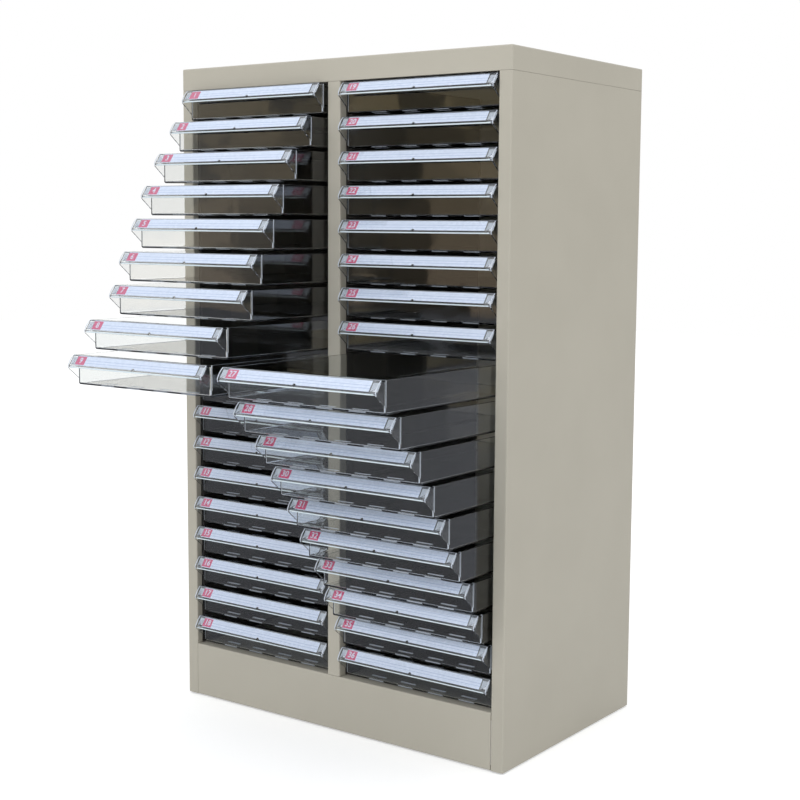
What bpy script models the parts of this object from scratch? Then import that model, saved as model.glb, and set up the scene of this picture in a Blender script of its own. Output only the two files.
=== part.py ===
"""Document drawer cabinet: a folded steel casing with two columns of clear plastic drawers.

Frame: metres, +Z up, +X to the right, the front faces -Y. The drawers stand where they were left
pulled out, and the origin is on the floor under the middle of that whole footprint.
"""
import math

import bmesh
import bpy
from mathutils import Matrix, Vector

# Casing, overall
CASE_WIDTH = 0.540
CASE_DEPTH = 0.330
CASE_HEIGHT = 0.890
SHEET = 0.0010
FOLD_RADIUS = 0.0015
FOLD_STEPS = 2
SEAT_GAP = 0.0003

# Top cap
CAP_DROP = 0.0294
CAP_RETURN = 0.0080

# Side panels
STILE_WIDTH = 0.0183
STILE_RETURN = 0.0095
REAR_FLANGE = 0.0200
FOOT_FLANGE = 0.0240
TONGUE_RISE = 0.0180
TONGUE_LAP = 0.0200
TONGUE_END_GAP = 0.0150

# Centre partition
MULLION_WIDTH = 0.0205

# Base
PLINTH_HEIGHT = 0.0762
PLINTH_TOP_RETURN = 0.0200
PLINTH_FOOT_RETURN = 0.0140
DECK_FLANGE = 0.0180

# Glides, pushed up through the foot flanges
GLIDE_RADIUS = 0.0090
GLIDE_HEIGHT = 0.0020
GLIDE_INSET = 0.0130
GLIDE_END_INSET = 0.0260
GLIDE_STEM_RADIUS = 0.0030
GLIDE_HEAD_RADIUS = 0.0042
GLIDE_HEAD_HEIGHT = 0.0030
GLIDE_HOLE_CLEARANCE = 0.0004
GLIDE_SIDES = 12

# Drawers
ROWS = 18
DRAWER_TRAVEL = 0.2500
DRAWER_RECESS = 0.0090
DRAWER_REAR_CLEARANCE = 0.0027
DRAWER_SIDE_CLEARANCE = 0.0027
DRAWER_TOP_CLEARANCE = 0.0024
DRAWER_UNDER_CLEARANCE = 0.0021
DRAWER_WALL = 0.0020
DRAWER_CORNER_RADIUS = 0.0030
DRAWER_FOOT_RADIUS = 0.0025
DRAWER_CORNER_STEPS = 2

# Label plate and lip on a drawer's front, measured from its wall and its top edge
PLATE_LEDGE = 0.0070
PLATE_THICKNESS = 0.0022
LIP_REACH = 0.0165
LIP_DROP = 0.0135
LIP_HEIGHT = 0.0028
LIP_TUCK = 0.0010
CHEEK_THICKNESS = 0.0017
CHEEK_DROP = 0.0310
CHEEK_PROUD = 0.0006
CHEEK_BULGE = 0.0012
CHEEK_ROOT = 0.0025
CHEEK_ARC_STEPS = 3
LABEL_END_MARGIN = 0.011025
LABEL_TOP_MARGIN = 0.000554
LABEL_FOOT_MARGIN = 0.001354
LABEL_RECESS = 0.0009

# Slots in a drawer's floor
SLOT_COUNT = 4
SLOT_PITCH = 0.0480
SLOT_LENGTH = 0.0240
SLOT_WIDTH = 0.0035
SLOT_SETBACK = 0.0160

# Runner racks
RACK_FRONT_SETBACK = 0.0125
RACK_REAR_SETBACK = 0.0075
LEDGE_THICKNESS = 0.0012
LEDGE_REACH = 0.0044
LEDGE_END_INSET = 0.0030

# How far each drawer was left out, top row first, in shares of the travel
LEFT_PULL_SHARES = (0.062, 0.158, 0.276, 0.376, 0.450, 0.539, 0.612, 0.786, 0.900) + (0.0,) * 9
RIGHT_PULL_SHARES = (0.0,) * 8 + (0.902, 0.792, 0.640, 0.528, 0.403, 0.306, 0.190, 0.113, 0.026, 0.0)

# A cutter runs this far past what it cuts, and a part that is joined starts this deep inside
OVERRUN = 0.0005
MERGE_DISTANCE = 0.000001

# Places that follow from the sizes
HALF_WIDTH = CASE_WIDTH / 2
FARTHEST_PULL = DRAWER_TRAVEL * max(LEFT_PULL_SHARES + RIGHT_PULL_SHARES)
FOOTPRINT_REACH = FARTHEST_PULL - DRAWER_RECESS + LIP_REACH + CHEEK_PROUD
FRONT = (FOOTPRINT_REACH - CASE_DEPTH) / 2
REAR = FRONT + CASE_DEPTH
OPENING_TOP = CASE_HEIGHT - CAP_DROP
OPENING_HEIGHT = OPENING_TOP - PLINTH_HEIGHT
DRAWER_PITCH = OPENING_HEIGHT / ROWS
DRAWER_HEIGHT = DRAWER_PITCH - DRAWER_TOP_CLEARANCE - DRAWER_UNDER_CLEARANCE
BAY_OUTER = HALF_WIDTH - STILE_WIDTH
BAY_INNER = MULLION_WIDTH / 2
BAY_CENTRE = (BAY_OUTER + BAY_INNER) / 2
DRAWER_WIDTH = BAY_OUTER - BAY_INNER - 2 * DRAWER_SIDE_CLEARANCE
BACK_PANEL_FRONT = REAR - SHEET - SEAT_GAP - SHEET
DRAWER_LENGTH = BACK_PANEL_FRONT - DRAWER_REAR_CLEARANCE - FRONT - DRAWER_RECESS
PANEL_INNER = HALF_WIDTH - SHEET - SEAT_GAP
RACK_FRONT = FRONT + RACK_FRONT_SETBACK
RACK_REAR = REAR - RACK_REAR_SETBACK

STEEL_COLOUR = (0.434, 0.407, 0.352)
RACK_COLOUR = (0.160, 0.150, 0.135)
PLASTIC_COLOUR = (0.800, 0.840, 0.870)
GLIDE_COLOUR = (0.020, 0.020, 0.020)


def clear_scene():
    """Remove every object that is in the file."""
    for thing in list(bpy.data.objects):
        bpy.data.objects.remove(thing, do_unlink=True)


def new_collection(name):
    """A collection linked to the scene."""
    group = bpy.data.collections.new(name)
    bpy.context.scene.collection.children.link(group)
    return group


def finish_of(name, colour, roughness, metallic, alpha=1.0):
    """A Principled material of one colour."""
    material = bpy.data.materials.new(name)
    material.use_nodes = True
    shader = material.node_tree.nodes["Principled BSDF"]
    shader.inputs["Base Color"].default_value = (*colour, 1.0)
    shader.inputs["Roughness"].default_value = roughness
    shader.inputs["Metallic"].default_value = metallic
    shader.inputs["Alpha"].default_value = alpha
    return material


def object_from(name, work, group, material=None):
    """Turn a bmesh into an object in a collection."""
    bmesh.ops.recalc_face_normals(work, faces=work.faces)
    mesh = bpy.data.meshes.new(name)
    work.to_mesh(mesh)
    work.free()
    thing = bpy.data.objects.new(name, mesh)
    if material is not None:
        mesh.materials.append(material)
    group.objects.link(thing)
    return thing


def box_mesh(low, high):
    """A bmesh box between two corners."""
    work = bmesh.new()
    bmesh.ops.create_cube(work, size=1.0)
    size = Vector(high) - Vector(low)
    bmesh.ops.scale(work, vec=size, verts=work.verts)
    bmesh.ops.translate(work, vec=(Vector(low) + Vector(high)) / 2, verts=work.verts)
    return work


def hide_tool(tool):
    """Mark an object as a cutter or a shape that is joined to a part."""
    tool.hide_render = True
    tool.display_type = "WIRE"


def boolean(part, tool, operation):
    """Join a tool to a part, or cut it out of it."""
    hide_tool(tool)
    step = part.modifiers.new(operation.lower(), "BOOLEAN")
    step.object = tool
    step.operation = operation
    step.solver = "EXACT"


def bake(part):
    """Replace a part's mesh with its evaluated one."""
    depsgraph = bpy.context.evaluated_depsgraph_get()
    mesh = bpy.data.meshes.new_from_object(part.evaluated_get(depsgraph))
    part.modifiers.clear()
    part.data = mesh


def solidify(part, thickness, offset):
    """Give an open sheet its thickness on one side, kept even round the folds."""
    wall = part.modifiers.new("wall", "SOLIDIFY")
    wall.thickness = thickness
    wall.offset = offset
    wall.use_even_offset = True


def folded_sheet(name, outline, start, end, axis, side, group, material=None):
    """A sheet folded along an outline and extruded along Z or X.

    The outline lists plan points (x, y) for a Z extrusion and section points (y, z) for an X one.
    side is 1 or -1, the side of the outline on which the sheet's thickness lies.
    """
    work = bmesh.new()
    rows = []
    for place in (start, end):
        if axis == "Z":
            rows.append([work.verts.new((a, b, place)) for a, b in outline])
        else:
            rows.append([work.verts.new((place, a, b)) for a, b in outline])
    for index in range(len(outline) - 1):
        near, far = rows
        work.faces.new((near[index], near[index + 1], far[index + 1], far[index]))
    folds = [edge for edge in work.edges if len(edge.link_faces) == 2]
    if folds:
        bmesh.ops.bevel(work, geom=folds, offset=FOLD_RADIUS, segments=FOLD_STEPS, profile=0.5,
                        affect="EDGES")
    mesh = bpy.data.meshes.new(name)
    work.to_mesh(mesh)
    work.free()
    sheet = bpy.data.objects.new(name, mesh)
    if material is not None:
        mesh.materials.append(material)
    group.objects.link(sheet)
    solidify(sheet, SHEET, side)
    return sheet


def inverted_tray(name, low, high, group, material):
    """A sheet tray, open underneath, with all its folds rounded."""
    work = box_mesh(low, high)
    bmesh.ops.recalc_face_normals(work, faces=work.faces)
    floor = [face for face in work.faces if face.normal.z < -0.5]
    bmesh.ops.delete(work, geom=floor, context="FACES_ONLY")
    folds = [edge for edge in work.edges if len(edge.link_faces) == 2]
    bmesh.ops.bevel(work, geom=folds, offset=FOLD_RADIUS, segments=FOLD_STEPS, profile=0.5,
                    affect="EDGES")
    mesh = bpy.data.meshes.new(name)
    work.to_mesh(mesh)
    work.free()
    tray = bpy.data.objects.new(name, mesh)
    mesh.materials.append(material)
    group.objects.link(tray)
    solidify(tray, SHEET, -1)
    return tray


def cylinder_tool(name, radius, low, high, place, group):
    """A vertical round cutter."""
    work = bmesh.new()
    bmesh.ops.create_cone(work, cap_ends=True, segments=GLIDE_SIDES, radius1=radius,
                          radius2=radius, depth=high - low)
    bmesh.ops.translate(work, vec=(place[0], place[1], (high + low) / 2), verts=work.verts)
    return object_from(name, work, group)


def glide_places(sign):
    """Plan places of the two glides on one side."""
    across = sign * (HALF_WIDTH - GLIDE_INSET)
    return ((across, FRONT + GLIDE_END_INSET), (across, REAR - GLIDE_END_INSET))


def make_top_cap(parts, tools, steel):
    """The lid, with its flange all round and a return under the front rail."""
    low = (-HALF_WIDTH, FRONT, OPENING_TOP)
    high = (HALF_WIDTH, REAR, CASE_HEIGHT)
    cap = inverted_tray("top_cap", low, high, parts, steel)
    reach_low = (-PANEL_INNER, FRONT + SHEET - OVERRUN, OPENING_TOP)
    reach_high = (PANEL_INNER, FRONT + CAP_RETURN, OPENING_TOP + SHEET)
    lip = object_from("cap_front_return", box_mesh(reach_low, reach_high), tools)
    boolean(cap, lip, "UNION")


def make_side_panel(name, sign, parts, tools, steel):
    """A side sheet with its front stile, return into the opening, rear flange and foot flange."""
    outline = [
        (sign * BAY_OUTER, FRONT + STILE_RETURN),
        (sign * BAY_OUTER, FRONT),
        (sign * HALF_WIDTH, FRONT),
        (sign * HALF_WIDTH, REAR),
        (sign * (HALF_WIDTH - REAR_FLANGE), REAR),
    ]
    top = OPENING_TOP - SEAT_GAP
    panel = folded_sheet(name, outline, GLIDE_HEIGHT, top, "Z", -sign, parts, steel)

    inner = sign * (HALF_WIDTH - FOOT_FLANGE)
    outer = sign * (HALF_WIDTH - OVERRUN)
    low = (min(inner, outer), FRONT + PLINTH_FOOT_RETURN + SEAT_GAP, GLIDE_HEIGHT)
    high = (max(inner, outer), BACK_PANEL_FRONT - SEAT_GAP, GLIDE_HEIGHT + SHEET)
    flange = object_from(name + "_foot_flange", box_mesh(low, high), tools)
    boolean(panel, flange, "UNION")

    near = FRONT + TONGUE_END_GAP
    far = REAR - TONGUE_END_GAP
    inner = sign * (PANEL_INNER - SHEET)
    outer = sign * PANEL_INNER
    low = (min(inner, outer), near, top - TONGUE_LAP)
    high = (max(inner, outer), far, top + TONGUE_RISE)
    tongue = object_from(name + "_tongue", box_mesh(low, high), tools)
    boolean(panel, tongue, "UNION")
    inner = sign * (PANEL_INNER - SHEET / 2)
    outer = sign * (HALF_WIDTH - SHEET / 2)
    low = (min(inner, outer), near + SHEET, top - TONGUE_LAP + SHEET)
    high = (max(inner, outer), far - SHEET, top - SHEET)
    weld = object_from(name + "_tongue_weld", box_mesh(low, high), tools)
    boolean(panel, weld, "UNION")

    for number, place in enumerate(glide_places(sign)):
        hole = cylinder_tool(name + "_glide_hole_%d" % number, GLIDE_STEM_RADIUS + GLIDE_HOLE_CLEARANCE,
                             GLIDE_HEIGHT - OVERRUN, GLIDE_HEIGHT + SHEET + OVERRUN, place, tools)
        boolean(panel, hole, "DIFFERENCE")


def make_centre_partition(parts, steel):
    """A channel whose closed side is the mullion, and whose walls carry the inner racks."""
    depth = BACK_PANEL_FRONT - SEAT_GAP
    outline = [(-BAY_INNER, depth), (-BAY_INNER, FRONT), (BAY_INNER, FRONT), (BAY_INNER, depth)]
    folded_sheet("centre_partition", outline, PLINTH_HEIGHT + SEAT_GAP, OPENING_TOP - SEAT_GAP, "Z", -1,
                 parts, steel)


def make_base(parts, steel):
    """The plinth panel across the front and the deck behind it."""
    half = BAY_OUTER - SEAT_GAP
    outline = [
        (FRONT + PLINTH_FOOT_RETURN, GLIDE_HEIGHT),
        (FRONT, GLIDE_HEIGHT),
        (FRONT, PLINTH_HEIGHT),
        (FRONT + PLINTH_TOP_RETURN, PLINTH_HEIGHT),
    ]
    folded_sheet("plinth_front", outline, -half, half, "X", 1, parts, steel)
    low = (-PANEL_INNER, FRONT + PLINTH_TOP_RETURN + SEAT_GAP, PLINTH_HEIGHT - DECK_FLANGE)
    high = (PANEL_INNER, BACK_PANEL_FRONT - SEAT_GAP, PLINTH_HEIGHT)
    inverted_tray("base_deck", low, high, parts, steel)


def make_back_panel(parts, steel):
    """A flat sheet against the inside of the rear flanges."""
    low = (-PANEL_INNER, BACK_PANEL_FRONT, GLIDE_HEIGHT)
    high = (PANEL_INNER, BACK_PANEL_FRONT + SHEET, CASE_HEIGHT - SHEET - SEAT_GAP)
    object_from("back_panel", box_mesh(low, high), parts, steel)


def make_rack(name, sign, outer, parts, tools, paint):
    """A rack with one ledge under one edge of each drawer in a column.

    An outer rack stands off its side panel on two flanges; an inner one lies on the partition.
    """
    base = PLINTH_HEIGHT + SEAT_GAP
    top = OPENING_TOP - SEAT_GAP
    if outer:
        face = BAY_OUTER - SEAT_GAP - SHEET
        outline = [
            (sign * PANEL_INNER, RACK_FRONT),
            (sign * face, RACK_FRONT),
            (sign * face, RACK_REAR),
            (sign * PANEL_INNER, RACK_REAR),
        ]
        rack = folded_sheet(name, outline, base, top, "Z", sign, parts, paint)
        root = sign * (face + SHEET / 2)
        tip = sign * (BAY_OUTER - DRAWER_SIDE_CLEARANCE - LEDGE_REACH)
    else:
        face = BAY_INNER + SEAT_GAP
        low_x, high_x = sorted((sign * face, sign * (face + SHEET)))
        rack = object_from(name, box_mesh((low_x, RACK_FRONT, base), (high_x, RACK_REAR, top)), parts,
                           paint)
        root = sign * (face + SHEET / 2)
        tip = sign * (BAY_INNER + DRAWER_SIDE_CLEARANCE + LEDGE_REACH)

    shelf_top = PLINTH_HEIGHT + DRAWER_UNDER_CLEARANCE - SEAT_GAP
    low = (min(root, tip), RACK_FRONT + LEDGE_END_INSET, shelf_top - LEDGE_THICKNESS)
    high = (max(root, tip), RACK_REAR - LEDGE_END_INSET, shelf_top)
    ledges = object_from(name + "_ledges", box_mesh(low, high), tools)
    rise = ledges.modifiers.new("rows", "ARRAY")
    rise.count = ROWS
    rise.use_relative_offset = False
    rise.use_constant_offset = True
    rise.constant_offset_displace = (0.0, 0.0, DRAWER_PITCH)
    boolean(rack, ledges, "UNION")


def make_glide(name, place, parts, rubber):
    """A turned push-in glide: foot, stem and a head that snaps above the flange."""
    stem_low = GLIDE_HEIGHT - SEAT_GAP
    head_low = GLIDE_HEIGHT + SHEET + SEAT_GAP
    profile = [
        (0.0, head_low + GLIDE_HEAD_HEIGHT),
        (GLIDE_STEM_RADIUS, head_low + GLIDE_HEAD_HEIGHT),
        (GLIDE_HEAD_RADIUS, head_low),
        (GLIDE_STEM_RADIUS, head_low),
        (GLIDE_STEM_RADIUS, stem_low),
        (GLIDE_RADIUS, stem_low),
        (GLIDE_RADIUS, 0.0),
        (0.0, 0.0),
    ]
    work = bmesh.new()
    points = [work.verts.new((radius, 0.0, height)) for radius, height in profile]
    for one, two in zip(points, points[1:]):
        work.edges.new((one, two))
    mesh = bpy.data.meshes.new(name)
    work.to_mesh(mesh)
    work.free()
    mesh.materials.append(rubber)
    glide = bpy.data.objects.new(name, mesh)
    glide.location = (place[0], place[1], 0.0)
    parts.objects.link(glide)
    turn = glide.modifiers.new("turn", "SCREW")
    turn.steps = GLIDE_SIDES
    turn.render_steps = GLIDE_SIDES
    turn.use_merge_vertices = True
    turn.merge_threshold = MERGE_DISTANCE


def drawer_tray():
    """The open tray as a sheet without thickness, its front wall at y = 0 and its floor at z = 0."""
    half = DRAWER_WIDTH / 2
    work = box_mesh((-half, 0.0, 0.0), (half, DRAWER_LENGTH, DRAWER_HEIGHT))
    bmesh.ops.recalc_face_normals(work, faces=work.faces)
    lid = [face for face in work.faces if face.normal.z > 0.5]
    bmesh.ops.delete(work, geom=lid, context="FACES_ONLY")
    upright = [edge for edge in work.edges
               if abs(edge.verts[0].co.z - edge.verts[1].co.z) > DRAWER_HEIGHT / 2]
    bmesh.ops.bevel(work, geom=upright, offset=DRAWER_CORNER_RADIUS, segments=DRAWER_CORNER_STEPS,
                    profile=0.5, affect="EDGES")
    foot = [edge for edge in work.edges
            if len(edge.link_faces) == 2 and max(vert.co.z for vert in edge.verts) < OVERRUN]
    bmesh.ops.bevel(work, geom=foot, offset=DRAWER_FOOT_RADIUS, segments=1, profile=0.5,
                    affect="EDGES")
    return work


def plate_section():
    """Section (y, z) of the label plate's outer face, from the wall to under the lip."""
    top = DRAWER_HEIGHT
    return [
        (DRAWER_WALL / 2, top),
        (-PLATE_LEDGE, top),
        (-LIP_REACH, top - LIP_DROP),
        (-LIP_REACH + LIP_TUCK, top - LIP_DROP - LIP_HEIGHT),
    ]


def cheek_outline():
    """Outline (y, z) of an end cheek: ledge, bulging front edge, lip and the slope back to the wall."""
    top = DRAWER_HEIGHT
    start = Vector((-PLATE_LEDGE, top))
    end = Vector((-LIP_REACH - CHEEK_PROUD, top - LIP_DROP))
    along = end - start
    outward = Vector((along.y, -along.x)).normalized()
    points = [Vector((CHEEK_ROOT, top)), start]
    for step in range(1, CHEEK_ARC_STEPS):
        share = step / CHEEK_ARC_STEPS
        rise = CHEEK_BULGE * math.sin(math.pi * share)
        points.append(start + along * share + outward * rise)
    points.append(end)
    points.append(Vector((-LIP_REACH - CHEEK_PROUD + LIP_TUCK, top - LIP_DROP - LIP_HEIGHT - CHEEK_PROUD)))
    points.append(Vector((DRAWER_WALL / 2, top - CHEEK_DROP)))
    points.append(Vector((CHEEK_ROOT, top - CHEEK_DROP)))
    return points


def cheek_tool(name, centre, tools):
    """An end cheek cut from a flat outline and turned to stand in the side wall's plane."""
    curve = bpy.data.curves.new(name, "CURVE")
    curve.dimensions = "2D"
    curve.fill_mode = "BOTH"
    curve.extrude = CHEEK_THICKNESS / 2
    points = cheek_outline()
    spline = curve.splines.new("POLY")
    spline.points.add(len(points) - 1)
    for slot, point in zip(spline.points, points):
        slot.co = (point.x, point.y, 0.0, 1.0)
    spline.use_cyclic_u = True
    flat = bpy.data.objects.new(name + "_outline", curve)
    tools.objects.link(flat)
    depsgraph = bpy.context.evaluated_depsgraph_get()
    mesh = bpy.data.meshes.new_from_object(flat.evaluated_get(depsgraph))
    bpy.data.objects.remove(flat, do_unlink=True)
    work = bmesh.new()
    work.from_mesh(mesh)
    bmesh.ops.remove_doubles(work, verts=work.verts, dist=MERGE_DISTANCE)
    stand = Matrix(((0, 0, 1), (1, 0, 0), (0, 1, 0))).to_4x4()
    bmesh.ops.transform(work, matrix=Matrix.Translation((centre, 0.0, 0.0)) @ stand, verts=work.verts)
    return object_from(name, work, tools)


def label_recess_tool(tools):
    """A box laid on the slope of the label plate, one recess deep, inside its margins."""
    section = plate_section()
    upper = Vector((0.0, *section[1]))
    lower = Vector((0.0, *section[2]))
    slope = (lower - upper).normalized()
    outward = Vector((0.0, slope.z, -slope.y))
    if outward.y > 0:
        outward = -outward
    top = upper + slope * LABEL_TOP_MARGIN
    foot = lower - slope * LABEL_FOOT_MARGIN
    half_width = DRAWER_WIDTH / 2 - LABEL_END_MARGIN
    half_height = (foot - top).length / 2
    work = box_mesh((-half_width, -half_height, -LABEL_RECESS), (half_width, half_height, LABEL_RECESS))
    lay = Matrix((Vector((1.0, 0.0, 0.0)), slope, outward)).transposed().to_4x4()
    bmesh.ops.transform(work, matrix=Matrix.Translation((top + foot) / 2) @ lay, verts=work.verts)
    return object_from("label_recess", work, tools)


def drawer_mesh(tools, plastic):
    """The mesh that all drawers share."""
    tray = object_from("drawer_tray", drawer_tray(), tools, plastic)
    solidify(tray, DRAWER_WALL, -1)

    half = DRAWER_WIDTH / 2
    reach = half - CHEEK_THICKNESS / 2
    plate = folded_plate(tools, reach)
    boolean(tray, plate, "UNION")
    helpers = [plate]
    for sign in (-1, 1):
        cheek = cheek_tool("cheek", sign * reach, tools)
        boolean(tray, cheek, "UNION")
        helpers.append(cheek)
    recess = label_recess_tool(tools)
    boolean(tray, recess, "DIFFERENCE")
    helpers.append(recess)
    for number in range(SLOT_COUNT):
        centre = (number - (SLOT_COUNT - 1) / 2) * SLOT_PITCH
        low = (centre - SLOT_LENGTH / 2, SLOT_SETBACK - SLOT_WIDTH / 2, -OVERRUN)
        high = (centre + SLOT_LENGTH / 2, SLOT_SETBACK + SLOT_WIDTH / 2, DRAWER_WALL + OVERRUN)
        slot = object_from("floor_slot", box_mesh(low, high), tools)
        boolean(tray, slot, "DIFFERENCE")
        helpers.append(slot)
    bake(tray)
    mesh = tray.data
    mesh.name = "drawer"
    bpy.data.objects.remove(tray, do_unlink=True)
    for helper in helpers:
        bpy.data.objects.remove(helper, do_unlink=True)
    return mesh


def folded_plate(tools, reach):
    """The label plate and its lip as a bent strip between the cheeks."""
    work = bmesh.new()
    section = plate_section()
    near = [work.verts.new((-reach, y, z)) for y, z in section]
    far = [work.verts.new((reach, y, z)) for y, z in section]
    for index in range(len(section) - 1):
        work.faces.new((near[index], near[index + 1], far[index + 1], far[index]))
    mesh = bpy.data.meshes.new("label_plate")
    work.to_mesh(mesh)
    work.free()
    plate = bpy.data.objects.new("label_plate", mesh)
    tools.objects.link(plate)
    solidify(plate, PLATE_THICKNESS, -1)
    return plate


def make_drawers(parts, tools, plastic):
    """Both columns of drawers, each on its own slide along -Y."""
    mesh = drawer_mesh(tools, plastic)
    for side, sign, shares in (("left", -1, LEFT_PULL_SHARES), ("right", 1, RIGHT_PULL_SHARES)):
        for row, share in enumerate(shares[:ROWS]):
            drawer = bpy.data.objects.new("drawer_%s_%02d" % (side, row + 1), mesh)
            out = share * DRAWER_TRAVEL
            foot = OPENING_TOP - (row + 1) * DRAWER_PITCH + DRAWER_UNDER_CLEARANCE
            drawer.location = (sign * BAY_CENTRE, FRONT + DRAWER_RECESS - out, foot)
            parts.objects.link(drawer)


def main():
    """Build the cabinet."""
    clear_scene()
    parts = new_collection("document_drawer_cabinet")
    tools = new_collection("cutters_and_joined_shapes")
    steel = finish_of("powder_coated_steel", STEEL_COLOUR, 0.45, 0.0)
    rack_paint = finish_of("rack_steel", RACK_COLOUR, 0.55, 0.0)
    plastic = finish_of("clear_polystyrene", PLASTIC_COLOUR, 0.08, 0.0, 0.35)
    rubber = finish_of("glide_plastic", GLIDE_COLOUR, 0.60, 0.0)

    make_top_cap(parts, tools, steel)
    for name, sign in (("side_panel_left", -1), ("side_panel_right", 1)):
        make_side_panel(name, sign, parts, tools, steel)
    make_centre_partition(parts, steel)
    make_base(parts, steel)
    make_back_panel(parts, steel)
    for side, sign in (("left", -1), ("right", 1)):
        make_rack("rack_%s_outer" % side, sign, True, parts, tools, rack_paint)
        make_rack("rack_%s_inner" % side, sign, False, parts, tools, rack_paint)
        for end, place in zip(("front", "rear"), glide_places(sign)):
            make_glide("glide_%s_%s" % (end, side), place, parts, rubber)
    make_drawers(parts, tools, plastic)


main()
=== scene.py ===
"""Looks of the document drawer cabinet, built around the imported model.

Sizes are in metres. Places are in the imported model's frame: +Z up, and the front faces -Y.
"""

import math

import bmesh
import bpy
from bpy.props import FloatProperty, FloatVectorProperty, IntProperty, PointerProperty
from bpy.types import Operator, Panel, PropertyGroup
from mathutils import Matrix, Vector


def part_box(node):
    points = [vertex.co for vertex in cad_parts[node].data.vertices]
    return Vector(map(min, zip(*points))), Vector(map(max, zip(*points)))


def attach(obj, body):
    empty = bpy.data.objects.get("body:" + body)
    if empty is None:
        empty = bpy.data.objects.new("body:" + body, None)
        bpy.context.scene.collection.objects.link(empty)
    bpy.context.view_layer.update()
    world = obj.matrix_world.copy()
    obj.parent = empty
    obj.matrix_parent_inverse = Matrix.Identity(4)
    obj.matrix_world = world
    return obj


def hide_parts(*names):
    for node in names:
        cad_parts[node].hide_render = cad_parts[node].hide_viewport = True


bl_info = {
    "name": "Document drawer cabinet",
    "version": (1, 0, 0),
    "blender": (4, 5, 0),
    "location": "3D View > Sidebar > Cabinet",
    "description": "Finishes a folded steel cabinet and its clear document drawers",
    "category": "Object",
}

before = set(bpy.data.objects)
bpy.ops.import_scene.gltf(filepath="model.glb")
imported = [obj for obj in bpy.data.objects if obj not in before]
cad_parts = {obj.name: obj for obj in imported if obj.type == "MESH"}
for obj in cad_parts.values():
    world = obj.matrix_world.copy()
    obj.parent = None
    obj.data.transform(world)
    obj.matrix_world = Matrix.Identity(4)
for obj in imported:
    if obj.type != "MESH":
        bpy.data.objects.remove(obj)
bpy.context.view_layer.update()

# Each drawer is a node and a body, numbered down the left column and then the right one
DRAWERS = sorted(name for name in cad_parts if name.startswith("drawer"))
# How the names of the casing's painted sheets start
PAINTED_SHEETS = ("top", "side", "centre", "plinth", "base", "back")

# The way to the room's pale wall, behind the cabinet on its left, and where the lamps look
PALE_WALL = (-0.588, 0.809, 0.0)
MIDDLE = Vector((0.0, 0.0, 0.45))

# How far pieces run into each other, and the distance under which points are one
OVERRUN = 0.0005
MERGE_DISTANCE = 0.000001

# Edges are sharp past this angle, and faces stand on edge under this part of a normal
SHARP_ANGLE = 0.2 * math.pi
ON_EDGE = 0.5


def linear(hex_colour):
    """Turn an sRGB hex colour into linear red, green and blue."""
    channels = [int(hex_colour[at:at + 2], 16) / 255 for at in (0, 2, 4)]
    return tuple(c / 12.92 if c <= 0.04045 else ((c + 0.055) / 1.055) ** 2.4 for c in channels)


def opaque(colour):
    """A colour with an alpha of 1, as a node's colour socket takes it."""
    return (*colour, 1.0)


def metres(name, about, default):
    """A length property in metres."""
    return FloatProperty(name=name, description=about, default=default, unit="LENGTH", precision=5)


def fraction(name, about, default):
    """A property between 0 and 1."""
    return FloatProperty(name=name, description=about, default=default, min=0.0, max=1.0,
                         subtype="FACTOR")


def srgb(name, about, hex_colour):
    """A colour property, given as sRGB hex."""
    return FloatVectorProperty(name=name, description=about, default=linear(hex_colour), min=0.0,
                               max=1.0, subtype="COLOR")


class CasingLook(PropertyGroup):
    """Paint of the casing and of the racks in it; the racks' dark colour is painted shade."""
    paint: srgb("Paint", "Powder coat on every sheet of the casing", "BEB9AB")
    paint_shade: srgb("Paint shade", "The same coat where it lies thicker", "BBB6A8")
    # The racks' dark enamel is painted shade: it darkens the inside of the cabinet, where little
    # light gets in
    rack_paint: srgb("Rack paint", "Enamel on the runner racks", "45423E")
    rack_shade: srgb("Rack shade", "The same enamel where it lies thin", "393633")
    glide: srgb("Glide", "Black nylon of the glides", "1B1B1C")
    roughness: fraction("Roughness", "Roughness of the powder coat", 0.42)


class RivetSizes(PropertyGroup):
    """The row of blind rivets that holds the back panel to the deck."""
    head_radius: metres("Head radius", "Radius of a rivet's head", 0.0032)
    head_height: metres("Head height", "Height of a rivet's head", 0.0010)
    count: IntProperty(name="Count", description="Rivets in the row", default=5, min=2)


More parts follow.
